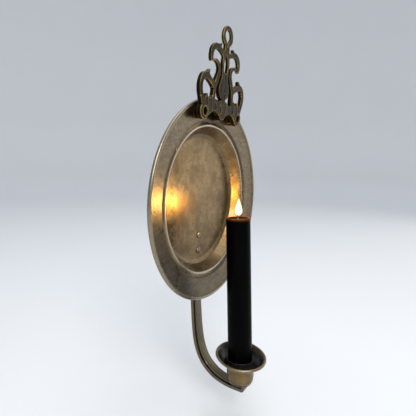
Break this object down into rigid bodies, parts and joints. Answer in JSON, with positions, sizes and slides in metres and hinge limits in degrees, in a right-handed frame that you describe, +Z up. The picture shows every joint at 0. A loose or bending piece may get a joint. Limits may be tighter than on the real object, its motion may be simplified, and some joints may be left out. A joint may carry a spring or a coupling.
{
  "type": "wall sconce candle holder",
  "caption": "Wall sconce: round dished reflector plate with a cast scroll crest, and a bent double-strap arm holding a candle in a socket with a drip pan.",
  "frame": {"origin": "seat of the hanger's keyhole, where the wall nail carries the sconce, on the wall plane", "axes": "+Z up, -Y from the wall into the room, +X to the right for someone facing the plate"},
  "size_m": [0.196, 0.0835, 0.3468],
  "materials": {
    "aged_pewter": "warm grey tarnished sheet brass, satin, fine brush marks",
    "dark_bronze": "dark patinated casting with worn gold edges",
    "strap_brass": "tarnished strip, brushed lengthwise",
    "rivet_brass": "hammered, dull",
    "black_wax": "smooth semi-gloss wax",
    "charred_cotton": "charred braided cotton"
  },
  "bodies": {
    "sconce": {"reflector_plate": "aged_pewter", "crest": "dark_bronze", "crest_rivet_left": "rivet_brass", "crest_rivet_right": "rivet_brass", "crest_pin_middle": "rivet_brass", "arm_front_strap": "strap_brass", "arm_rear_strap": "strap_brass", "arm_washer_upper": "rivet_brass", "arm_washer_lower": "rivet_brass", "arm_washer_tip": "rivet_brass", "arm_rivet_upper": "rivet_brass", "arm_rivet_lower": "rivet_brass", "candle_socket": "aged_pewter", "socket_rivet": "rivet_brass", "drip_pan": "aged_pewter", "hanger_tab": "rivet_brass"},
    "candle": {"candle": "black_wax", "wick": "charred_cotton"}
  },
  "joints": [
    {"name": "candle_lift", "type": "slide", "parent": "sconce", "child": "candle", "axis": [0, 0.0541, 0.9985], "range_m": [0, 0.04]}
  ]
}
